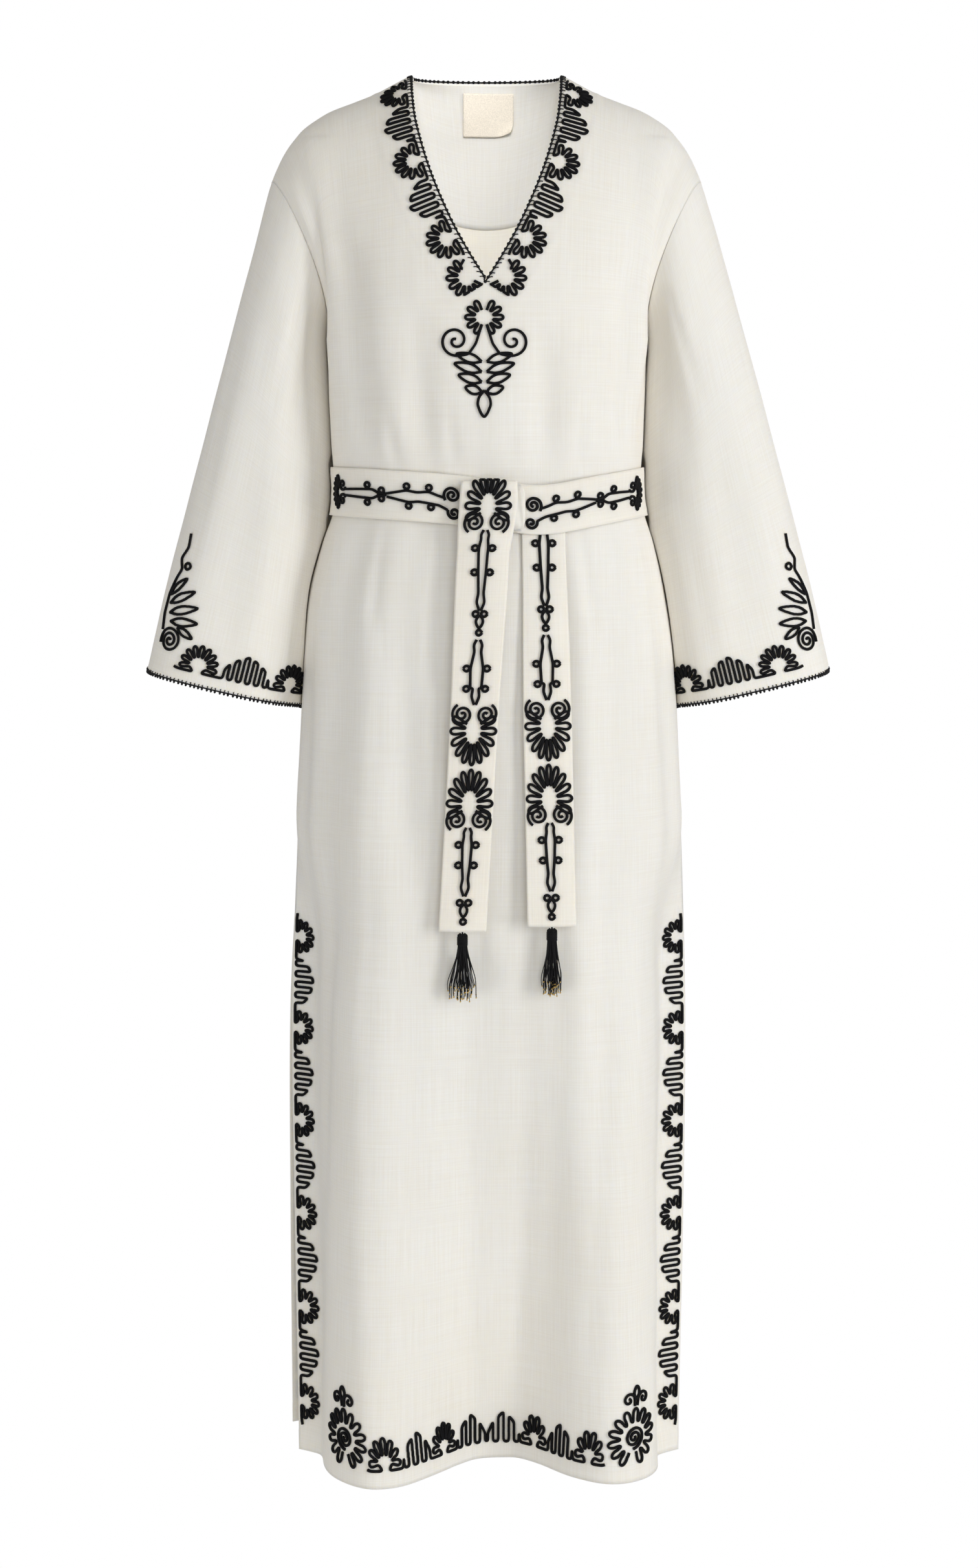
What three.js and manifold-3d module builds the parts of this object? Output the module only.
// A long linen kaftan with a V neck, wide sleeves, side slits and a tied belt with tassels.
// It is a hollow garment, filled out as it hangs on a wearer, and each cut piece is its own thin wall.
// Millimetres, +Z up, the front towards -Y. Left and right are those of somebody looking at the front.
// The origin is midway between the shoulders, just under the neck points that carry the garment.
import * as THREE from 'three';
import { mergeVertices } from 'three/addons/utils/BufferGeometryUtils.js';
import Module from 'manifold-3d';

const wasm = await Module();
wasm.setup();

// Cloth and seams
const CLOTH = 1.6; // wall of the linen, with its creases
const FACING_CLOTH = 1.0;
const BELT_CLOTH = 2.2; // two layers, turned and pressed
const SEAM_GAP = 0.3;

// Heights
const HEM_Z = -1322;
const SLIT_TOP_Z = -805;
const WAIST_Z = -390; // middle of the belt
const PARTING_Z = -394; // where bodice and skirt meet, under the belt
const UNDERARM_Z = -238;
const NECK_POINT = { x: 75.5, z: 20 }; // where the neck edge crosses the shoulder
const BACK_NECK = { y: 56, z: 23 }; // middle of the back neckline
const V_POINT_Z = -192;

// Grid of the cloth walls
const HALF_COLUMNS = 13; // centre front to side
const BACK_HALF_COLUMNS = 10;
const YOKE_ROWS = 11; // underarm to shoulder
const SLEEVE_ROWS = 16;

// Horizontal sections of the body tube: half widths to the left and right, depths to the front and
// back of the side seams, and how square the oval is (2 is an ellipse).
const SECTIONS = [
  { z: -238, left: 157, right: 159, front: 118, back: 100, square: 2.7 },
  { z: -300, left: 155, right: 157, front: 117, back: 97, square: 2.6 },
  { z: -345, left: 153, right: 155, front: 110, back: 93, square: 2.5 },
  { z: -370, left: 151, right: 153, front: 103, back: 90, square: 2.4 },
  { z: -390, left: 150, right: 153, front: 100, back: 89, square: 2.4 },
  { z: -412, left: 152, right: 156, front: 102, back: 92, square: 2.4 },
  { z: -440, left: 162, right: 165, front: 107, back: 100, square: 2.4 },
  { z: -488, left: 175, right: 176, front: 116, back: 112, square: 2.4 },
  { z: -545, left: 180, right: 184, front: 122, back: 122, square: 2.4 },
  { z: -620, left: 183.5, right: 189, front: 126, back: 129, square: 2.4 },
  { z: -739, left: 187.5, right: 193.5, front: 129, back: 133, square: 2.6 },
  { z: -898, left: 192.5, right: 197, front: 132, back: 135, square: 3.5 },
  { z: -1100, left: 188.5, right: 193.5, front: 127, back: 134, square: 3.3 },
  { z: -1322, left: 182, right: 186, front: 121, back: 128, square: 3.2 },
];
const BACK_SPREAD = { left: 12, right: 2 }; // how much wider the back hem stands than the front hem

// How far each panel's slit edge has swung from the side line at the hem
const SLIT_SWING = { front: 48, back: 24, growth: 1.3 };
// Beside the slits the cloth keeps the pressed line of the side seam: the last stretch of a panel turns
// outwards again, so that its border faces the front or the back
const SIDE_TURN = { from: -700, full: -860, reach: 46, soft: 26, back: 0.3 };

// Folds of the two panels. A fold runs from one height to another and from one place across the panel
// to another, where 0 is the centre and 1 or -1 a side seam. Width and depth are in mm, and a
// negative depth is a trough. keep is the share of the depth that is left at the lower end.
const FRONT_FOLDS = [
  { from: -500, to: -1322, top: -0.42, low: -0.47, width: 52, depth: 43, keep: 1, grow: 2 },
  { from: -500, to: -1322, top: 0.42, low: 0.56, width: 50, depth: 38, keep: 1, grow: 2 },
  { from: -460, to: -1322, top: 0.04, low: 0.06, width: 74, depth: -52, keep: 1, grow: 2 },
  { from: -412, to: -820, top: -0.84, low: -0.8, width: 17, depth: -7, keep: 0, grow: 0.3 },
  { from: -412, to: -1150, top: -0.6, low: -0.72, width: 20, depth: -9, keep: 0, grow: 0.3 },
  { from: -412, to: -800, top: -0.36, low: -0.3, width: 19, depth: -7, keep: 0, grow: 0.3 },
  { from: -412, to: -700, top: -0.12, low: -0.14, width: 16, depth: -5, keep: 0, grow: 0.3 },
  { from: -412, to: -760, top: 0.3, low: 0.26, width: 18, depth: -7, keep: 0, grow: 0.3 },
  { from: -412, to: -1100, top: 0.52, low: 0.4, width: 20, depth: -9, keep: 0, grow: 0.3 },
  { from: -412, to: -820, top: 0.78, low: 0.76, width: 19, depth: -7, keep: 0, grow: 0.3 },
  { from: -150, to: -372, top: -0.6, low: -0.56, width: 19, depth: -9, keep: 0.3, grow: 0.4 },
  { from: -215, to: -372, top: -0.3, low: -0.27, width: 17, depth: -8, keep: 0.3, grow: 0.4 },
  { from: -230, to: -372, top: 0.24, low: 0.26, width: 17, depth: -8, keep: 0.3, grow: 0.4 },
  { from: -170, to: -372, top: 0.62, low: 0.6, width: 18, depth: -7, keep: 0.3, grow: 0.4 },
  { from: -190, to: -372, top: 0.86, low: 0.82, width: 16, depth: -6, keep: 0.3, grow: 0.4 },
  { from: -45, to: -330, top: -0.72, low: -0.74, width: 20, depth: 7, keep: 0, grow: 0.3 },
  { from: -45, to: -330, top: 0.72, low: 0.76, width: 20, depth: 7, keep: 0, grow: 0.3 },
  { from: -60, to: -220, top: -0.87, low: -0.88, width: 16, depth: -8, keep: 0, grow: 0.3 },
  { from: -60, to: -220, top: 0.87, low: 0.88, width: 16, depth: -7, keep: 0, grow: 0.3 },
];
const BACK_FOLDS = [
  { from: -520, to: -1322, top: -0.4, low: -0.46, width: 60, depth: 28, keep: 1, grow: 2 },
  { from: -520, to: -1322, top: 0.38, low: 0.5, width: 60, depth: 30, keep: 1, grow: 2 },
  { from: -480, to: -1322, top: -0.04, low: 0.02, width: 74, depth: -40, keep: 1, grow: 2 },
  { from: -412, to: -900, top: -0.62, low: -0.7, width: 22, depth: -9, keep: 0, grow: 0.3 },
  { from: -412, to: -760, top: -0.26, low: -0.24, width: 21, depth: -8, keep: 0, grow: 0.3 },
  { from: -412, to: -820, top: 0.24, low: 0.2, width: 21, depth: -8, keep: 0, grow: 0.3 },
  { from: -412, to: -980, top: 0.6, low: 0.7, width: 22, depth: -9, keep: 0, grow: 0.3 },
  { from: -180, to: -372, top: -0.56, low: -0.52, width: 20, depth: -8, keep: 0.3, grow: 0.4 },
  { from: -205, to: -372, top: -0.16, low: -0.18, width: 19, depth: -7, keep: 0.3, grow: 0.4 },
  { from: -190, to: -372, top: 0.22, low: 0.22, width: 19, depth: -7, keep: 0.3, grow: 0.4 },
  { from: -165, to: -372, top: 0.6, low: 0.56, width: 20, depth: -8, keep: 0.3, grow: 0.4 },
];

// The shoulder ridge from above the middle of the neck to the top of the armhole
const SHOULDER = [
  { x: 0, z: 24 },
  { x: 40, z: 23 },
  { x: 75.5, z: 20 },
  { x: 91, z: 12.5 },
  { x: 107, z: 4 },
  { x: 131, z: -5.5 },
  { x: 154, z: -14.5 },
  { x: 170, z: -24 },
  { x: 182, z: -33 },
  { x: 190, z: -42 },
  { x: 197, z: -51 },
  { x: 203, z: -61 },
  { x: 209.5, z: -75 },
  { x: 213, z: -84 },
];

// Front neck edge, from the neck point down to the point of the V
const NECK_EDGE = [
  { z: 20, x: 75.5 },
  { z: -5, x: 73.5 },
  { z: -35, x: 69 },
  { z: -83, x: 55 },
  { z: -130, x: 35.5 },
  { z: -162, x: 18.5 },
  { z: -192, x: 0 },
];

// Directions in which the yoke leaves the underarm level and arrives at the shoulder, with their pull
const YOKE_PULL = {
  chest: [0, 0, 300],
  armhole: [-30, -190, 150],
  ridge: [0, 200, 0],
  tip: [30, 240, 0],
  backNeck: [0, 70, 130],
};

// Sleeves: the oval of the cuff, whose outer end is higher, and the pull along the arm
const CUFFS = {
  left: { x: -254.8, y: 4, z: -585.1, halfWidth: 84, halfDepth: 60, tilt: 13, bulge: 2 },
  right: { x: 257.7, y: 4, z: -585.1, halfWidth: 84.5, halfDepth: 60, tilt: 13, bulge: 4 },
};
// The inner side of a sleeve swings back and bows towards the body, and lies against it and the belt
const SLEEVE_INNER = { back: 33, bow: 24, full: 0.35, clearance: 3, blend: 5, start: 40 };
const BESIDE_BELT = { extra: 5.4, reach: 46 };
const ARM_PULL = 150;
const BULGE_WIDTH = 0.16;
// Folds of a sleeve, from one share of its length to another; at is the place round the sleeve,
// where 0 is the underarm, 0.25 the front, 0.5 the outer line and 0.75 the back.
const SLEEVE_FOLDS = [
  { from: 0.02, to: 0.55, top: 0.13, low: 0.2, width: 0.055, depth: -8 },
  { from: 0.25, to: 1.15, top: 0.3, low: 0.24, width: 0.06, depth: -6 },
  { from: 0.45, to: 1.3, top: 0.37, low: 0.4, width: 0.05, depth: 4 },
  { from: 0.05, to: 0.6, top: 0.86, low: 0.78, width: 0.055, depth: -8 },
  { from: 0.4, to: 1.2, top: 0.66, low: 0.7, width: 0.06, depth: -6 },
];

// Belt, knot, hanging ends and tassels. The left end comes over the top of the knot and hangs in front
// of it; the right end hangs from behind the band, which stands forward there.
const BELT = { width: 47, clearance: 1.5, forward: 3.2, frontSteps: 22, backSteps: 20 };
const BELT_FORWARD = { from: 6, to: 112, soft: 26 }; // where the band stands forward, by x
const BELT_DIPS = [
  { x: -152, dip: 0 },
  { x: -90, dip: 4 },
  { x: -35, dip: 8 },
  { x: 5, dip: 13 },
  { x: 50, dip: 18 },
  { x: 100, dip: 10 },
  { x: 155, dip: 0 },
];
const KNOT = {
  left: -19, right: 37, top: -384, bottom: -428, thick: 8, thinEnd: 0.3, taper: 0.18, columns: 12, rows: 8,
};
const TAILS = {
  left: { lowX: -22.5, lowZ: -803, lowWidth: 45, lowOut: 9 },
  right: { topX: 54, topZ: -416, topWidth: 42, lowX: 61.5, lowZ: -799, lowWidth: 46, lowOut: 7 },
};
const OVER_KNOT = [
  { z: -381.4, ahead: 9.4, x: 3, width: 51 },
  { z: -380.6, ahead: 12.4, x: 3, width: 52 },
  { z: -381.8, ahead: 15.2, x: 2.9, width: 53 },
  { z: -386.5, ahead: 16.9, x: 2.6, width: 54 },
  { z: -396, ahead: 17.3, x: 2.2, width: 55 },
  { z: -412, ahead: 17.2, x: 1, width: 55 },
  { z: -428, ahead: 16.2, x: -0.8, width: 53 },
  { z: -448, ahead: 11.5, x: -3, width: 50 },
];
const TAIL_ROWS = 12;
const TAIL_TOP = { ahead: 2.9, second: -427, third: -438, drift: 0.4 }; // of the right end
const TAIL_CURL = { height: 2.4, waves: 7 };
const TASSEL = {
  length: 64, headLength: 17, headRadius: 6.5, oval: 0.62,
  strands: 22, inner: 8, strandRadius: 0.9, uneven: 2.5,
};
// The head from its top to its foot: radius as a share of the head's, and height below its top
const TASSEL_HEAD = [
  { wide: 0, z: 0 },
  { wide: 0.45, z: -0.6 },
  { wide: 0.85, z: -3.5 },
  { wide: 1, z: -7.5 },
  { wide: 0.9, z: -10.5 },
  { wide: 0.72, z: -12.5 },
  { wide: 0.73, z: -14 },
  { wide: 1, z: -17 },
  { wide: 0, z: -17 },
];
// The two rings of strands, as shares of the head's radius and of the flare
const STRAND_RINGS = { inner: { root: 0.34, spread: 0.42, turn: 0 }, outer: { root: 0.78, spread: 0.95, turn: 0.2 } };
const TASSEL_FLARE = { left: 15, right: 10 };

// Label and facing inside the back of the neck
const FACING_GAP = 0.8;
const FACING = { columns: 5, lowZ: -122, sag: 0.5 };
const LABEL = {
  halfWidth: 25.5, height: 43.5, x: 2, fromTop: 0.6, gap: 1.6, cloth: 1,
  columns: 4, rows: 4, sweep: 0.0036, lean: 0.6,
};
const LABEL_CURL = { depth: 5, fromColumn: 0.5, toRow: 0.6 }; // its lower right corner comes forward

const EDGING_RADIUS = 1.5;

const vec = (x, y, z) => new THREE.Vector3(x, y, z);
const lerp = THREE.MathUtils.lerp;
const clamp01 = (t) => Math.min(1, Math.max(0, t));
const smoothstep = (t) => clamp01(t) * clamp01(t) * (3 - 2 * clamp01(t));

// Smooth value of one column of a table at a place along its first column
function along(rows, place, column, at) {
  const sign = rows[rows.length - 1][place] > rows[0][place] ? 1 : -1;
  let i = 0;
  while (i < rows.length - 2 && sign * (at - rows[i + 1][place]) > 0) i += 1;
  const [a, b] = [rows[i], rows[i + 1]];
  const span = b[place] - a[place];
  const slope = (k) => {
    const lo = rows[Math.max(0, k - 1)];
    const hi = rows[Math.min(rows.length - 1, k + 1)];
    return (hi[column] - lo[column]) / (hi[place] - lo[place]);
  };
  const t = clamp01((at - a[place]) / span);
  const [t2, t3] = [t * t, t * t * t];
  return (2 * t3 - 3 * t2 + 1) * a[column] + (t3 - 2 * t2 + t) * span * slope(i)
    + (3 * t2 - 2 * t3) * b[column] + (t3 - t2) * span * slope(i + 1);
}

// Points spread evenly along a polyline, returned as a function of the share of its length
function evenly(points) {
  const lengths = [0];
  for (let i = 1; i < points.length; i += 1) {
    lengths.push(lengths[i - 1] + points[i].distanceTo(points[i - 1]));
  }
  const total = lengths[lengths.length - 1];
  const at = (share) => {
    const wanted = clamp01(share) * total;
    let i = 1;
    while (i < points.length - 1 && lengths[i] < wanted) i += 1;
    const part = (wanted - lengths[i - 1]) / (lengths[i] - lengths[i - 1]);
    return points[i - 1].clone().lerp(points[i], part);
  };
  return { at, total };
}

// How far a panel's slit edge stands from the side line at a height
function slitSwing(panel, z) {
  const down = clamp01((SLIT_TOP_Z - z) / (SLIT_TOP_Z - HEM_Z));
  return SLIT_SWING[panel] * down ** SLIT_SWING.growth;
}

// Turns the last stretch of a half section outwards, and keeps both its ends where they were
function turnedSide(points, side, outward, z) {
  const turn = smoothstep((SIDE_TURN.from - z) / (SIDE_TURN.from - SIDE_TURN.full));
  if (turn === 0) return points;
  const { total } = evenly(points);
  const wanted = vec(side, -outward * SIDE_TURN.back, 0).normalize();
  const turned = [points[0].clone()];
  let left = total;
  for (let i = 1; i < points.length; i += 1) {
    const step = points[i].clone().sub(points[i - 1]);
    const length = step.length();
    left -= length;
    const weight = turn * smoothstep((SIDE_TURN.reach - left) / SIDE_TURN.soft);
    step.normalize().lerp(wanted, weight).setLength(length);
    turned.push(turned[i - 1].clone().add(step));
  }
  const [start, end, reached] = [points[0], points[points.length - 1], turned[turned.length - 1]];
  const scaleX = end.x / reached.x;
  const scaleY = (end.y - start.y) / (reached.y - start.y);
  return turned.map((p) => vec(p.x * scaleX, start.y + (p.y - start.y) * scaleY, z));
}

const outlines = new Map();
const OUTLINE_STEPS = 64;
const NORMAL_STEP = 0.012; // share of a section over which its direction is measured

// One half of a panel's section at a height, without folds, from the centre to the side seam
function outline(panel, side, z) {
  const key = `${panel} ${side} ${z.toFixed(3)}`;
  if (!outlines.has(key)) {
    const row = Object.fromEntries(
      ['left', 'right', 'front', 'back', 'square'].map((c) => [c, along(SECTIONS, 'z', c, z)]),
    );
    const name = side < 0 ? 'left' : 'right';
    const low = clamp01((SLIT_TOP_Z - z) / (SLIT_TOP_Z - HEM_Z));
    const width = row[name] + (panel === 'back' ? BACK_SPREAD[name] * low : 0);
    const swing = slitSwing(panel, z);
    const depth = row[panel] - swing;
    const power = 2 / row.square;
    const outward = panel === 'front' ? -1 : 1;
    const oval = [];
    for (let i = 0; i <= OUTLINE_STEPS; i += 1) {
      const angle = (Math.PI / 2) * (1 - i / OUTLINE_STEPS);
      oval.push(vec(
        side * width * Math.max(0, Math.cos(angle)) ** power,
        outward * (swing + depth * Math.max(0, Math.sin(angle)) ** power),
        z,
      ));
    }
    const points = turnedSide(oval, side, outward, z);
    const curve = evenly(points);
    const normal = (share) => {
      const d = curve.at(share + NORMAL_STEP).sub(curve.at(share - NORMAL_STEP));
      return vec(-side * outward * d.y, side * outward * d.x, 0).normalize();
    };
    outlines.set(key, { ...curve, normal });
  }
  return outlines.get(key);
}

// Height of the folds over the plain section at one place of a panel
function foldHeight(folds, a, z, halfLength) {
  let sum = 0;
  for (const fold of folds) {
    const u = (fold.from - z) / (fold.from - fold.to);
    if (u <= 0 || (u >= 1 && fold.keep === 0)) continue;
    const place = lerp(fold.top, fold.low, clamp01(u));
    const away = ((a - place) * halfLength) / fold.width;
    const rise = clamp01(u) ** fold.grow;
    const fade = lerp(fold.keep, 1, smoothstep((1 - u) / 0.35));
    sum += fold.depth * rise * fade * Math.exp(-away * away);
  }
  return sum;
}

// The belt presses every fold flat against the waist
function beltPress(z) {
  return 1 - 0.8 * Math.exp(-(((z - WAIST_Z) / 26) ** 2));
}

// A point of a panel below the underarm, and the direction out of the cloth there
function bodyPoint(panel, a, z, withFolds = true) {
  const side = a < 0 ? -1 : 1;
  const curve = outline(panel, side, z);
  const p = curve.at(Math.abs(a));
  const n = curve.normal(Math.abs(a));
  const folds = panel === 'front' ? FRONT_FOLDS : BACK_FOLDS;
  const height = withFolds ? foldHeight(folds, a, z, curve.total) * beltPress(z) : 0;
  return { p: p.addScaledVector(n, height), n };
}

const shoulderLine = evenly(SHOULDER.map((row) => vec(row.x, 0, row.z)));
const NECK_SHARE = (() => {
  let share = 0;
  while (shoulderLine.at(share).x < NECK_POINT.x) share += 0.0005;
  return share;
})();

// The top edge of a panel: the shoulder ridge, and behind the neck the back neckline
function topEdge(panel, side, share) {
  const p = shoulderLine.at(share);
  if (panel === 'back' && share < NECK_SHARE) {
    const across = (Math.PI / 2) * (share / NECK_SHARE);
    p.set(NECK_POINT.x * Math.sin(across), BACK_NECK.y * Math.cos(across),
      lerp(NECK_POINT.z, BACK_NECK.z, Math.cos(across)));
  }
  p.x *= side;
  return p;
}

// A point of a panel above the underarm level, where t runs from 0 there to 1 at the shoulder
function yokePoint(panel, a, t, withFolds = true) {
  const side = a < 0 ? -1 : 1;
  const share = Math.abs(a);
  const outward = panel === 'front' ? 1 : -1;
  const low = bodyPoint(panel, a, UNDERARM_Z, false);
  const high = topEdge(panel, side, share);
  const turn = smoothstep((share - 0.6) / 0.4);
  const leave = vec(...YOKE_PULL.chest).lerp(vec(...YOKE_PULL.armhole), turn);
  const arrive = vec(...YOKE_PULL.ridge).lerp(vec(...YOKE_PULL.tip), turn);
  if (panel === 'back') {
    arrive.lerp(vec(...YOKE_PULL.backNeck), 1 - smoothstep(share / NECK_SHARE));
  }
  leave.set(leave.x * side, leave.y * outward, leave.z);
  arrive.set(arrive.x * side, arrive.y * outward, arrive.z);
  const [t2, t3] = [t * t, t * t * t];
  const p = low.p.clone().multiplyScalar(2 * t3 - 3 * t2 + 1)
    .addScaledVector(leave, t3 - 2 * t2 + t)
    .addScaledVector(high, 3 * t2 - 2 * t3)
    .addScaledVector(arrive, t3 - t2);
  if (withFolds) {
    const folds = panel === 'front' ? FRONT_FOLDS : BACK_FOLDS;
    const lift = low.n.clone().multiplyScalar(1 - t).add(vec(0, 0, t * 0.7)).normalize();
    const calm = 1 - smoothstep((t - 0.75) / 0.25);
    const half = outline(panel, side, UNDERARM_Z).total;
    p.addScaledVector(lift, foldHeight(folds, a, p.z, half) * calm * (1 - share ** 8));
  }
  return p;
}

// Heights of the rows below the underarm, closer together where the belt gathers the cloth
const BODY_ROWS = (() => {
  const stretches = [
    { to: -362, rows: 4 },
    { to: -426, rows: 4 },
    { to: -545, rows: 4 },
    { to: SLIT_TOP_Z, rows: 5 },
    { to: HEM_Z, rows: 10 },
  ];
  const heights = [];
  let from = UNDERARM_Z;
  for (const stretch of stretches) {
    for (let i = 0; i < stretch.rows; i += 1) heights.push(lerp(from, stretch.to, i / stretch.rows));
    from = stretch.to;
  }
  return [...heights, HEM_Z].reverse();
})();
const UNDERARM_ROW = BODY_ROWS.length - 1;
const PARTING_ROW = BODY_ROWS.findIndex((z) => z > PARTING_Z - 1);

// The share of the yoke's height at which the centre front reaches the point of the V
const V_SHARE = (() => {
  let t = 0;
  while (yokePoint('front', 0.0001, t, false).z < V_POINT_Z) t += 0.0005;
  return t;
})();
const yokeShare = (row) => (row === 0 ? 0 : lerp(V_SHARE, 1, (row - 1) / (YOKE_ROWS - 1)));

// Where the front neck edge crosses a row of the yoke, as a share from centre to armhole
function neckShare(side, t) {
  let [inner, outer] = [0, 0.6];
  for (let i = 0; i < 40; i += 1) {
    const middle = (inner + outer) / 2;
    const p = yokePoint('front', side * Math.max(middle, 1e-5), t, false);
    const edge = along(NECK_EDGE, 'z', 'x', Math.max(p.z, V_POINT_Z));
    if (Math.abs(p.x) < edge) inner = middle;
    else outer = middle;
  }
  return t <= V_SHARE + 1e-9 ? 0 : inner;
}

// The armhole seam of one side as a loop of points with the directions out of the cloth and across
// the seam: from the underarm up the front, over the shoulder and down the back
function armhole(side) {
  const seam = (panel, t) => yokePoint(panel, side, t, false);
  const points = [];
  for (let i = 0; i <= YOKE_ROWS; i += 1) points.push(seam('front', yokeShare(i)));
  for (let i = YOKE_ROWS - 1; i >= 1; i -= 1) points.push(seam('back', yokeShare(i)));
  const count = points.length;
  const middle = points.reduce((sum, p) => sum.add(p), vec(0, 0, 0)).divideScalar(count);
  return points.map((p, i) => {
    const tangent = points[(i + 1) % count].clone().sub(points[(i + count - 1) % count]).normalize();
    const out = p.clone().sub(middle).add(vec(side * 12, 0, 0));
    out.addScaledVector(tangent, -out.dot(tangent)).normalize();
    const across = tangent.clone().cross(out).normalize();
    if (across.x * side < 0) across.negate();
    return { p, out, across };
  });
}
const ARMHOLES = { '-1': armhole(-1), 1: armhole(1) };

// A closed wall from a sheet of quads: the sheet itself, the sheet moved inwards, and its rims
function wall(points, quads, thickness, fixed = new Map()) {
  const normals = sheetNormals({ points, quads, fixed });
  const inner = points.map((p, i) => p.clone().addScaledVector(normals[i], -thickness));
  const count = points.length;
  const faces = [];
  const rims = new Map();
  for (const [a, b, c, d] of quads) {
    faces.push([a, b, c], [a, c, d]);
    faces.push([a + count, c + count, b + count], [a + count, d + count, c + count]);
    for (const [from, to] of [[a, b], [b, c], [c, d], [d, a]]) {
      if (rims.has(`${to} ${from}`)) rims.delete(`${to} ${from}`);
      else rims.set(`${from} ${to}`, [from, to]);
    }
  }
  for (const [from, to] of rims.values()) {
    faces.push([to, from, from + count], [to, from + count, to + count]);
  }
  return geometryOf([...points, ...inner], faces);
}

function geometryOf(points, faces) {
  const geometry = new THREE.BufferGeometry();
  const places = points.flatMap((p) => [p.x, p.y, p.z]);
  geometry.setAttribute('position', new THREE.Float32BufferAttribute(places, 3));
  geometry.setIndex(faces.flat());
  geometry.computeVertexNormals();
  return geometry;
}

// A rectangular grid of quads whose corners run anticlockwise seen from outside
function gridQuads(rows, columns, index, closed = false) {
  const quads = [];
  for (let r = 0; r < rows; r += 1) {
    for (let c = 0; c < columns; c += 1) {
      const next = closed ? (c + 1) % columns : c + 1;
      quads.push([index(r, c), index(r, next), index(r + 1, next), index(r + 1, c)]);
    }
  }
  return quads;
}

// Keeps the walls of two panels apart along the seams that lie in the plane between them
function flattened(p, outward) {
  return vec(p.x, outward * SEAM_GAP / 2, p.z);
}

// The last column of a panel in the yoke, drawn back from the armhole seam
function armholeEdge(panel, side, row) {
  const loop = ARMHOLES[side];
  const i = panel === 'front' ? row : (loop.length - row) % loop.length;
  const { p, out, across } = loop[i];
  const point = p.clone().addScaledVector(across, -SEAM_GAP / 2);
  const outward = panel === 'front' ? -1 : 1;
  if (row === 0 || row === YOKE_ROWS) point.y = outward * SEAM_GAP / 2;
  return { point, out };
}

// Points of one half of a panel, row by row from the hem to the shoulder
function halfPanel(panel, side, columns) {
  const outward = panel === 'front' ? -1 : 1;
  const rows = [];
  const fixed = [];
  BODY_ROWS.forEach((z) => {
    const line = [];
    for (let c = 0; c <= columns; c += 1) {
      const { p } = bodyPoint(panel, side * Math.max(c / columns, 1e-6), z);
      if (c === 0) p.x = 0;
      const atSeam = c === columns && z >= SLIT_TOP_Z;
      line.push(atSeam ? flattened(p, outward) : p);
      if (c === columns) fixed.push({ row: rows.length, c, n: vec(side, 0, 0) });
    }
    rows.push(line);
  });
  for (let r = 1; r <= YOKE_ROWS; r += 1) {
    const t = yokeShare(r);
    const start = panel === 'front' ? neckShare(side, t) : 0;
    const line = [];
    for (let c = 0; c < columns; c += 1) {
      const p = yokePoint(panel, side * Math.max(lerp(start, 1, c / columns), 1e-6), t);
      if (c === 0 && start === 0) p.x = 0;
      const atRidge = r === YOKE_ROWS && Math.abs(p.y) < 1;
      line.push(atRidge ? flattened(p, outward) : p);
      if (atRidge) fixed.push({ row: rows.length, c, ridge: true });
    }
    const edge = armholeEdge(panel, side, r);
    line.push(edge.point);
    fixed.push({ row: rows.length, c: columns, n: edge.out });
    rows.push(line);
  }
  const corner = armholeEdge(panel, side, 0);
  rows[UNDERARM_ROW][columns] = corner.point;
  fixed.push({ row: UNDERARM_ROW, c: columns, n: corner.out });
  return { rows, fixed };
}

// A whole panel: two halves that share the centre line, except above the point of the V
function panelSheet(panel, columns) {
  const points = [];
  const quads = [];
  const quadRows = [];
  const fixed = new Map();
  const centre = [];
  const neck = {};
  const splitRow = panel === 'front' ? UNDERARM_ROW + 2 : Infinity;
  for (const side of [-1, 1]) {
    const half = halfPanel(panel, side, columns);
    const index = half.rows.map((line, r) => line.map((p, c) => {
      if (c === 0 && r < splitRow) {
        if (centre[r] === undefined) centre[r] = points.push(p) - 1;
        return centre[r];
      }
      return points.push(p) - 1;
    }));
    const rows = half.rows.length - 1;
    const flip = (panel === 'front') === (side < 0);
    gridQuads(rows, columns, (r, c) => index[r][c]).forEach((quad, i) => {
      quads.push(flip ? quad.reverse() : quad);
      quadRows.push(Math.floor(i / columns));
    });
    for (const { row, c, n, ridge } of half.fixed) {
      const i = index[row][c];
      if (ridge) {
        const line = half.rows[row];
        const slope = line[Math.min(c + 1, columns)].clone().sub(line[Math.max(c - 1, 0)]);
        fixed.set(i, vec(-slope.z * side, 0, slope.x * side).normalize());
      } else fixed.set(i, n);
    }
    neck[side] = index;
  }
  return { points, quads, quadRows, fixed, index: neck };
}

// The bodice or the skirt of a panel, drawn back from the row where the two meet
function portion(sheet, name) {
  const normals = sheetNormals(sheet);
  const rise = (name === 'bodice' ? SEAM_GAP : -SEAM_GAP) / 2;
  const meeting = new Set([-1, 1].flatMap((side) => sheet.index[side][PARTING_ROW]));
  const kept = new Map();
  const points = [];
  const fixed = new Map();
  const keep = (i) => {
    if (!kept.has(i)) {
      const p = sheet.points[i].clone();
      if (meeting.has(i)) p.z += rise;
      kept.set(i, points.push(p) - 1);
      fixed.set(kept.get(i), normals[i]);
    }
    return kept.get(i);
  };
  const quads = sheet.quads
    .filter((quad, i) => (sheet.quadRows[i] >= PARTING_ROW) === (name === 'bodice'))
    .map((quad) => quad.map(keep));
  return wall(points, quads, CLOTH, fixed);
}

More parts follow.
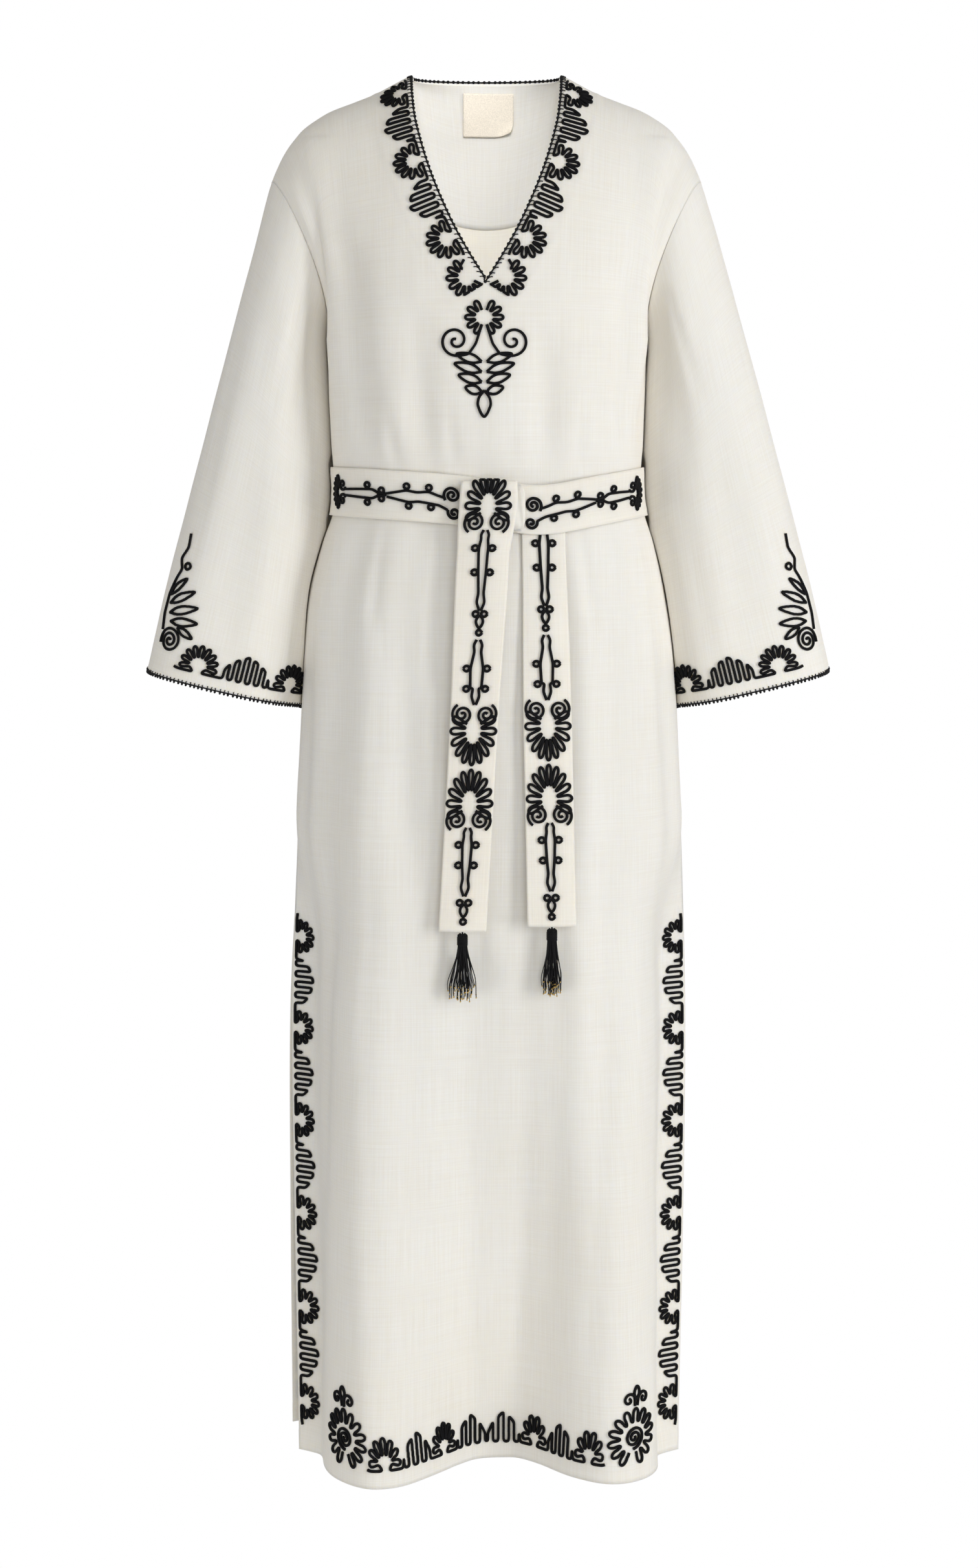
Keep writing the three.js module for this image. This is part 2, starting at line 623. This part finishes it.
// Keeps a point of a sleeve clear of the body's side, with a soft turn where it comes to lie there
function besideBody(p) {
  const below = (UNDERARM_Z - p.z) / SLEEVE_INNER.start;
  if (below <= 0) return p;
  const at = (column) => along(SECTIONS, 'z', column, p.z);
  const square = at('square');
  const [width, depth] = [at(p.x < 0 ? 'left' : 'right'), at(p.y < 0 ? 'front' : 'back')];
  const reach = ((Math.abs(p.x) / width) ** square + (Math.abs(p.y) / depth) ** square) ** (1 / square);
  const radius = Math.hypot(p.x, p.y);
  const surface = radius / reach;
  const belt = BESIDE_BELT.extra * Math.exp(-(((p.z - WAIST_Z) / BESIDE_BELT.reach) ** 2));
  const clearance = lerp(SEAM_GAP, SLEEVE_INNER.clearance, smoothstep(below)) + belt;
  const beyond = radius - surface - clearance;
  const { blend } = SLEEVE_INNER;
  let gap = Math.max(0, beyond);
  if (Math.abs(beyond) < blend) gap = (beyond + blend) ** 2 / (4 * blend);
  const scale = (surface + clearance + gap) / radius;
  return p.set(p.x * scale, p.y * scale, p.z);
}

// A sleeve: each line of cloth leaves the armhole and runs down to its place on the cuff
function sleevePoints(side) {
  const seam = ARMHOLES[side];
  const count = seam.length;
  const cuff = side < 0 ? CUFFS.left : CUFFS.right;
  const tilt = THREE.MathUtils.degToRad(cuff.tilt);
  const outerway = vec(side * Math.cos(tilt), 0, Math.sin(tilt));
  const armway = vec(side * Math.sin(tilt), 0, -Math.cos(tilt));
  const centre = vec(cuff.x, cuff.y, cuff.z);
  const perimeter = evenly([...seam.map((s) => s.p), seam[0].p]);
  let walked = 0;
  const lines = seam.map((s, i) => {
    if (i > 0) walked += s.p.distanceTo(seam[i - 1].p);
    const share = walked / perimeter.total;
    const angle = share * Math.PI * 2;
    const inner = Math.max(0, Math.cos(angle)) ** 3;
    const end = centre.clone()
      .addScaledVector(outerway, -cuff.halfWidth * Math.cos(angle))
      .add(vec(0, -cuff.halfDepth * Math.sin(angle), 0));
    return { start: s.p.clone().addScaledVector(s.across, SEAM_GAP / 2), end, share, inner };
  });
  const rows = [];
  for (let r = 0; r <= SLEEVE_ROWS; r += 1) {
    const t = r / SLEEVE_ROWS;
    const [t2, t3] = [t * t, t * t * t];
    rows.push(lines.map(({ start, end, share, inner }) => {
      const p = start.clone().multiplyScalar(2 * t3 - 3 * t2 + 1)
        .addScaledVector(armway, (t3 - 2 * t2 + t) * ARM_PULL + (t3 - t2) * ARM_PULL)
        .addScaledVector(end, 3 * t2 - 2 * t3);
      const out = centre.clone().sub(end).negate().normalize();
      let fold = cuff.bulge * Math.sin(Math.PI * t) * Math.exp(-(((share - 0.5) / BULGE_WIDTH) ** 2));
      for (const f of SLEEVE_FOLDS) {
        const u = (t - f.from) / (f.to - f.from);
        if (u <= 0 || u >= 1) continue;
        const away = (share - lerp(f.top, f.low, u)) / f.width;
        fold += f.depth * Math.sin(Math.PI * u) * Math.exp(-away * away);
      }
      p.addScaledVector(out, fold);
      const swung = inner * smoothstep(t / SLEEVE_INNER.full);
      p.x -= side * SLEEVE_INNER.bow * swung * Math.sin(Math.PI * t);
      p.y += SLEEVE_INNER.back * swung;
      return r === 0 ? p : besideBody(p);
    }));
  }
  return { rows, count };
}

function sleeve(side) {
  const { rows, count } = sleevePoints(side);
  const points = rows.flat();
  const quads = gridQuads(SLEEVE_ROWS, count, (r, c) => r * count + c, true)
    .map((quad) => (side > 0 ? quad.reverse() : quad));
  const fixed = new Map(ARMHOLES[side].map((s, i) => [i, s.out]));
  return { points, quads, fixed, rim: rows[SLEEVE_ROWS], before: rows[SLEEVE_ROWS - 1] };
}

// A thin cord along a closed edge, just clear of it. Each place has the edge point, the direction out
// of the cloth and the direction off the edge.
function edging(rim, outs, offs) {
  const count = rim.length;
  const reach = SEAM_GAP + EDGING_RADIUS;
  const points = [];
  rim.forEach((p, i) => {
    const centre = p.clone().addScaledVector(outs[i], -CLOTH / 2).addScaledVector(offs[i], reach);
    const off = offs[i].clone().normalize();
    for (const [u, v] of [[1, 0], [0, 1], [-1, 0], [0, -1]]) {
      points.push(centre.clone().addScaledVector(outs[i], u * EDGING_RADIUS)
        .addScaledVector(off, v * EDGING_RADIUS));
    }
  });
  const faces = [];
  for (let i = 0; i < count; i += 1) {
    for (let k = 0; k < 4; k += 1) {
      const [a, b] = [i * 4 + k, i * 4 + ((k + 1) % 4)];
      const [c, d] = [((i + 1) % count) * 4 + ((k + 1) % 4), ((i + 1) % count) * 4 + k];
      faces.push([a, b, c], [a, c, d]);
    }
  }
  return outwardFacing(geometryOf(points, faces));
}

// Turns a closed mesh inside out if its faces point inwards
function outwardFacing(geometry) {
  const p = geometry.attributes.position;
  const index = geometry.index;
  const [a, b, c] = [vec(), vec(), vec()];
  let volume = 0;
  for (let i = 0; i < index.count; i += 3) {
    a.fromBufferAttribute(p, index.getX(i));
    b.fromBufferAttribute(p, index.getX(i + 1));
    c.fromBufferAttribute(p, index.getX(i + 2));
    volume += a.dot(b.cross(c));
  }
  if (volume < 0) {
    const turned = [];
    for (let i = 0; i < index.count; i += 3) {
      turned.push(index.getX(i), index.getX(i + 2), index.getX(i + 1));
    }
    geometry.setIndex(turned);
    geometry.computeVertexNormals();
  }
  return geometry;
}

// Mitred directions off a closed rim, so that a cord keeps its distance at the corners
function offDirections(rim, outs) {
  const count = rim.length;
  const parts = rim.map((p, i) => rim[(i + 1) % count].clone().sub(p).cross(outs[i]).normalize());
  return rim.map((p, i) => {
    const before = parts[(i + count - 1) % count];
    const mean = before.clone().add(parts[i]).normalize();
    return mean.divideScalar(Math.max(0.5, mean.dot(before)));
  });
}

function neckEdging(front, back) {
  const rim = [];
  const outs = [];
  const top = UNDERARM_ROW + YOKE_ROWS;
  const normals = new Map([[front, sheetNormals(front)], [back, sheetNormals(back)]]);
  const add = (sheet, i) => {
    rim.push(sheet.points[i]);
    outs.push(normals.get(sheet)[i].clone());
  };
  for (let r = top - 1; r > UNDERARM_ROW + 1; r -= 1) add(front, front.index[-1][r][0]);
  add(front, front.index[1][UNDERARM_ROW + 1][0]);
  for (let r = UNDERARM_ROW + 2; r < top; r += 1) add(front, front.index[1][r][0]);
  const columns = back.index[1][top].length - 1;
  const neckColumns = (side) => {
    const list = [];
    for (let c = 1; c <= columns; c += 1) {
      const i = back.index[side][top][c];
      if (back.points[i].y > 4) list.push(i);
    }
    return list;
  };
  const ridge = (side) => {
    const p = topEdge('back', side, NECK_SHARE);
    rim.push(p);
    outs.push(vec(side * 0.35, 0, 1).normalize());
  };
  ridge(1);
  neckColumns(1).reverse().forEach((i) => add(back, i));
  add(back, back.index[1][top][0]);
  neckColumns(-1).forEach((i) => add(back, i));
  ridge(-1);
  const offs = offDirections(rim, outs);
  const inwards = vec(0, 0, -80).sub(rim[0]);
  if (offs[0].dot(inwards) < 0) offs.forEach((off) => off.negate());
  return edging(rim, outs, offs);
}

function cuffEdging(cuff, side) {
  const centre = cuff.rim.reduce((sum, p) => sum.add(p), vec(0, 0, 0)).divideScalar(cuff.rim.length);
  const outs = cuff.rim.map((p) => p.clone().sub(centre).normalize());
  const tilt = THREE.MathUtils.degToRad(CUFFS.left.tilt);
  const offs = cuff.rim.map(() => vec(side * Math.sin(tilt), 0, -Math.cos(tilt)));
  return edging(cuff.rim, outs, offs);
}

// The direction out of the cloth at every point of a sheet
function sheetNormals(sheet) {
  const normals = sheet.points.map(() => vec(0, 0, 0));
  for (const quad of sheet.quads) {
    const [a, b, c, d] = quad.map((i) => sheet.points[i]);
    const n = c.clone().sub(a).cross(d.clone().sub(b));
    quad.forEach((i) => normals[i].add(n));
  }
  normals.forEach((n, i) => n.copy(sheet.fixed.get(i) ?? n.normalize()));
  return normals;
}

// A place on the inside of the back yoke, by its column from the centre and its row
function backInside(sheet, normals, column, row, depth) {
  const side = column < 0 ? -1 : 1;
  const [c, r] = [Math.abs(column), UNDERARM_ROW + row];
  const [c0, r0] = [Math.min(BACK_HALF_COLUMNS - 1, Math.floor(c)), Math.floor(r)];
  const [u, v] = [c - c0, r - r0];
  const at = (i) => sheet.points[i].clone().addScaledVector(normals[i], -depth);
  const line = (k) => {
    const lineIndex = sheet.index[side][k];
    return at(lineIndex[c0]).lerp(at(lineIndex[c0 + 1]), u);
  };
  return v > 0 ? line(r0).lerp(line(r0 + 1), v) : line(r0);
}

// The facing lies on the inside of the back panel, from the neckline down
function facing(sheet) {
  const normals = sheetNormals(sheet);
  const centreZ = (row) => backInside(sheet, normals, 0, row, 0).z;
  let lowRow = YOKE_ROWS - 0.2;
  while (centreZ(lowRow) > FACING.lowZ) lowRow -= 0.01;
  const rows = [lowRow];
  for (let r = Math.ceil(lowRow + 0.6); r < YOKE_ROWS; r += 1) rows.push(r);
  rows.push(YOKE_ROWS);
  const points = [];
  const columns = FACING.columns * 2;
  rows.forEach((row, r) => {
    for (let c = -FACING.columns; c <= FACING.columns; c += 1) {
      const sag = r === 0 ? FACING.sag * (c / FACING.columns) ** 2 : 0;
      points.push(backInside(sheet, normals, c, row + sag, CLOTH + FACING_GAP));
    }
  });
  const quads = gridQuads(rows.length - 1, columns, (r, c) => r * (columns + 1) + c)
    .map((quad) => quad.reverse());
  return wall(points, quads, FACING_CLOTH);
}

// The label hangs on the facing by its top edge
function label(sheet) {
  const normals = sheetNormals(sheet);
  const { columns, rows, halfWidth } = LABEL;
  const depth = CLOTH + FACING_GAP + FACING_CLOTH + LABEL.gap;
  const top = backInside(sheet, normals, 0, YOKE_ROWS - LABEL.fromTop, depth);
  const lower = backInside(sheet, normals, 0, YOKE_ROWS - LABEL.fromTop - 2, depth);
  const down = lower.sub(top).normalize();
  const points = [];
  for (let r = 0; r <= rows; r += 1) {
    for (let c = 0; c <= columns; c += 1) {
      const x = lerp(-halfWidth, halfWidth, c / columns);
      const across = Math.max(0, c / columns - LABEL_CURL.fromColumn);
      const curl = LABEL_CURL.depth * across * Math.max(0, LABEL_CURL.toRow - r / rows);
      const p = top.clone().addScaledVector(down, LABEL.height * (1 - r / rows));
      const swept = LABEL.sweep * x * x;
      points.push(vec(x + LABEL.x, p.y - swept - curl - LABEL.lean * (1 - r / rows), p.z));
    }
  }
  const quads = gridQuads(rows, columns, (r, c) => r * (columns + 1) + c).map((quad) => quad.reverse());
  return wall(points, quads, LABEL.cloth);
}

// How far the middle of the belt hangs below the waist, and how far it stands forward of the cloth
function beltPlace(panel, x) {
  const dip = panel === 'front' ? along(BELT_DIPS, 'x', 'dip', x) : 0;
  const { from, to, soft } = BELT_FORWARD;
  const lifted = panel === 'front' ? smoothstep((x - from) / soft) * smoothstep((to - x) / soft) : 0;
  return { z: WAIST_Z - dip, out: BELT.clearance + BELT.forward * lifted };
}

// The belt goes all round the waist in one ring
function beltBand() {
  const { frontSteps, backSteps } = BELT;
  const places = [];
  for (let i = 0; i < frontSteps; i += 1) places.push(['front', lerp(-1, 1, i / frontSteps)]);
  for (let i = 0; i < backSteps; i += 1) places.push(['back', lerp(1, -1, i / backSteps)]);
  const rows = 2;
  const points = [];
  for (let r = 0; r <= rows; r += 1) {
    for (const [panel, share] of places) {
      const a = Math.abs(share) < 1e-6 ? 1e-6 : share;
      const middle = bodyPoint(panel, a, WAIST_Z, false).p;
      const place = beltPlace(panel, middle.x);
      const z = place.z + BELT.width * (r / rows - 0.5);
      const { p, n } = bodyPoint(panel, a, z, false);
      points.push(p.addScaledVector(n, place.out + BELT_CLOTH));
    }
  }
  const count = places.length;
  const quads = gridQuads(rows, count, (r, c) => r * count + c, true);
  return wall(points, quads, BELT_CLOTH);
}

// Depth of the plain front of the body at a place across it
function bodyFront(x, z) {
  const at = (column) => along(SECTIONS, 'z', column, z);
  const square = at('square');
  const across = Math.abs(x) / at(x < 0 ? 'left' : 'right');
  return at('front') * Math.max(0, 1 - across ** square) ** (1 / square);
}

// The knot: the crossing of the belt under the hanging end, as one rounded pad on the band
function knot() {
  const { columns, rows } = KNOT;
  const points = [];
  const middleX = (KNOT.left + KNOT.right) / 2;
  for (let r = 0; r <= rows; r += 1) {
    const v = lerp(-1, 1, r / rows);
    const z = lerp(KNOT.bottom, KNOT.top, r / rows);
    const round = Math.max(KNOT.thinEnd, 1 - Math.abs(v) ** 4);
    const behind = BELT.clearance + BELT.forward + BELT_CLOTH - SEAM_GAP;
    for (let c = 0; c < columns; c += 1) {
      const angle = (c / columns) * Math.PI * 2;
      const [s, k] = [Math.sin(angle), Math.cos(angle)];
      const bulge = (w) => Math.sign(w) * Math.abs(w) ** 0.5;
      const half = ((KNOT.right - KNOT.left) / 2) * (1 - KNOT.taper * (1 - round));
      const x = middleX + half * bulge(k);
      points.push(vec(x, -bodyFront(x, z) - behind - (KNOT.thick * round * (1 + bulge(s))) / 2, z));
    }
  }
  const faces = [];
  for (let r = 0; r < rows; r += 1) {
    for (let c = 0; c < columns; c += 1) {
      const next = (c + 1) % columns;
      const [a, b] = [r * columns + c, r * columns + next];
      faces.push([a, b, b + columns], [a, b + columns, a + columns]);
    }
  }
  for (let c = 1; c < columns - 1; c += 1) {
    faces.push([0, c + 1, c]);
    const top = rows * columns;
    faces.push([top, top + c, top + c + 1]);
  }
  return outwardFacing(geometryOf(points, faces));
}

// The middle line of a hanging end from top to bottom, with its width
function tailPath(name) {
  const tail = TAILS[name];
  const rows = [];
  let from = { z: tail.topZ, ahead: TAIL_TOP.ahead, x: tail.topX, width: tail.topWidth };
  if (name === 'left') {
    rows.push(...OVER_KNOT.slice(0, -1));
    from = OVER_KNOT[OVER_KNOT.length - 1];
  } else {
    rows.push(from, { ...from, z: TAIL_TOP.second });
    from = { ...from, z: TAIL_TOP.third, x: from.x + TAIL_TOP.drift };
  }
  for (let i = 0; i <= TAIL_ROWS; i += 1) {
    const u = i / TAIL_ROWS;
    rows.push({
      z: lerp(from.z, tail.lowZ, u),
      ahead: lerp(from.ahead, tail.lowOut, smoothstep(u * 1.6)),
      x: lerp(from.x, tail.lowX, u),
      width: lerp(from.width, tail.lowWidth, smoothstep(u * 2)),
    });
  }
  return rows;
}

function tailSheet(name) {
  const columns = 4;
  const points = [];
  const path = tailPath(name).reverse();
  path.forEach((row, r) => {
    const u = 1 - r / (path.length - 1);
    for (let c = 0; c <= columns; c += 1) {
      const x = row.x + row.width * (c / columns - 0.5);
      const curl = Math.sin(Math.PI * (c / columns)) * Math.sin(TAIL_CURL.waves * u) * smoothstep(u * 3);
      const ahead = row.ahead + TAIL_CURL.height * Math.max(0, curl);
      points.push(vec(x, -(bodyFront(x, row.z) + ahead), row.z));
    }
  });
  const quads = gridQuads(path.length - 1, columns, (r, c) => r * (columns + 1) + c);
  return wall(points, quads, BELT_CLOTH);
}

function solidOf(geometry) {
  geometry.deleteAttribute('normal');
  geometry.deleteAttribute('uv');
  const merged = mergeVertices(geometry, 1e-4);
  return new wasm.Manifold(new wasm.Mesh({
    numProp: 3,
    vertProperties: merged.attributes.position.array,
    triVerts: new Uint32Array(merged.index.array),
  }));
}

// A tassel: a bound head and a skirt of strands whose roots are inside the head
function tassel(name) {
  const tail = TAILS[name];
  const flare = TASSEL_FLARE[name];
  const topZ = tail.lowZ - SEAM_GAP;
  const [x, y] = [tail.lowX, BELT_CLOTH / 2 - bodyFront(tail.lowX, tail.lowZ) - tail.lowOut];
  const { headRadius, headLength, length } = TASSEL;
  const profile = TASSEL_HEAD.map((row) => new THREE.Vector2(row.wide * headRadius, row.z)).reverse();
  const head = new THREE.LatheGeometry(profile, 12);
  head.rotateX(Math.PI / 2);
  head.translate(x, y, topZ);
  let solid = solidOf(head);
  const section = new THREE.Shape([0, 1, 2].map((k) => new THREE.Vector2(
    TASSEL.strandRadius * Math.cos((k * 2 * Math.PI) / 3),
    TASSEL.strandRadius * Math.sin((k * 2 * Math.PI) / 3),
  )));
  for (let i = 0; i < TASSEL.strands; i += 1) {
    const isInner = i < TASSEL.inner;
    const ring = isInner ? STRAND_RINGS.inner : STRAND_RINGS.outer;
    const first = isInner ? 0 : TASSEL.inner;
    const inRing = isInner ? TASSEL.inner : TASSEL.strands - TASSEL.inner;
    const angle = ((i - first) / inRing) * Math.PI * 2 + ring.turn;
    const root = headRadius * ring.root;
    const spread = flare * ring.spread;
    const low = -length + TASSEL.uneven * Math.sin(i * 2.4);
    const at = (radius, z) => vec(
      x + radius * Math.cos(angle), y + radius * TASSEL.oval * Math.sin(angle), topZ + z,
    );
    const path = new THREE.CatmullRomCurve3([
      at(root, -headLength + 2), at(lerp(root, spread, 0.4), lerp(-headLength, low, 0.45)), at(spread, low),
    ]);
    const strand = new THREE.ExtrudeGeometry(section, { steps: 3, extrudePath: path });
    solid = solid.add(solidOf(strand));
  }
  const mesh = solid.getMesh();
  const geometry = new THREE.BufferGeometry();
  geometry.setAttribute('position', new THREE.Float32BufferAttribute(mesh.vertProperties, 3));
  geometry.setIndex(Array.from(mesh.triVerts));
  geometry.computeVertexNormals();
  return geometry;
}

const linen = new THREE.MeshStandardMaterial({
  color: '#ebe7df', roughness: 0.92, metalness: 0, side: THREE.DoubleSide,
});
const tape = new THREE.MeshStandardMaterial({ color: '#e9dfcd', roughness: 0.9, metalness: 0 });
const blackThread = new THREE.MeshStandardMaterial({ color: '#1b1b1d', roughness: 0.75, metalness: 0 });

const kaftan = new THREE.Group();

function addPiece(name, geometry, material) {
  const mesh = new THREE.Mesh(geometry, material.clone());
  mesh.name = name;
  kaftan.add(mesh);
}

const frontSheet = panelSheet('front', HALF_COLUMNS);
const backSheet = panelSheet('back', BACK_HALF_COLUMNS);
const sleeves = { left: sleeve(-1), right: sleeve(1) };

for (const [panel, sheet] of [['front', frontSheet], ['back', backSheet]]) {
  for (const name of ['bodice', 'skirt']) addPiece(`${panel}_${name}`, portion(sheet, name), linen);
}
for (const [name, cut] of Object.entries(sleeves)) {
  addPiece(`sleeve_${name}`, wall(cut.points, cut.quads, CLOTH, cut.fixed), linen);
  addPiece(`cuff_edging_${name}`, cuffEdging(cut, name === 'left' ? -1 : 1), blackThread);
}
addPiece('neck_edging', neckEdging(frontSheet, backSheet), blackThread);
addPiece('back_neck_facing', facing(backSheet), linen);
addPiece('neck_label', label(backSheet), tape);
addPiece('belt_band', beltBand(), linen);
addPiece('belt_knot', knot(), linen);
for (const name of Object.keys(TAILS)) {
  addPiece(`belt_tail_${name}`, tailSheet(name), linen);
  addPiece(`tassel_${name}`, tassel(name), blackThread);
}

export default kaftan;
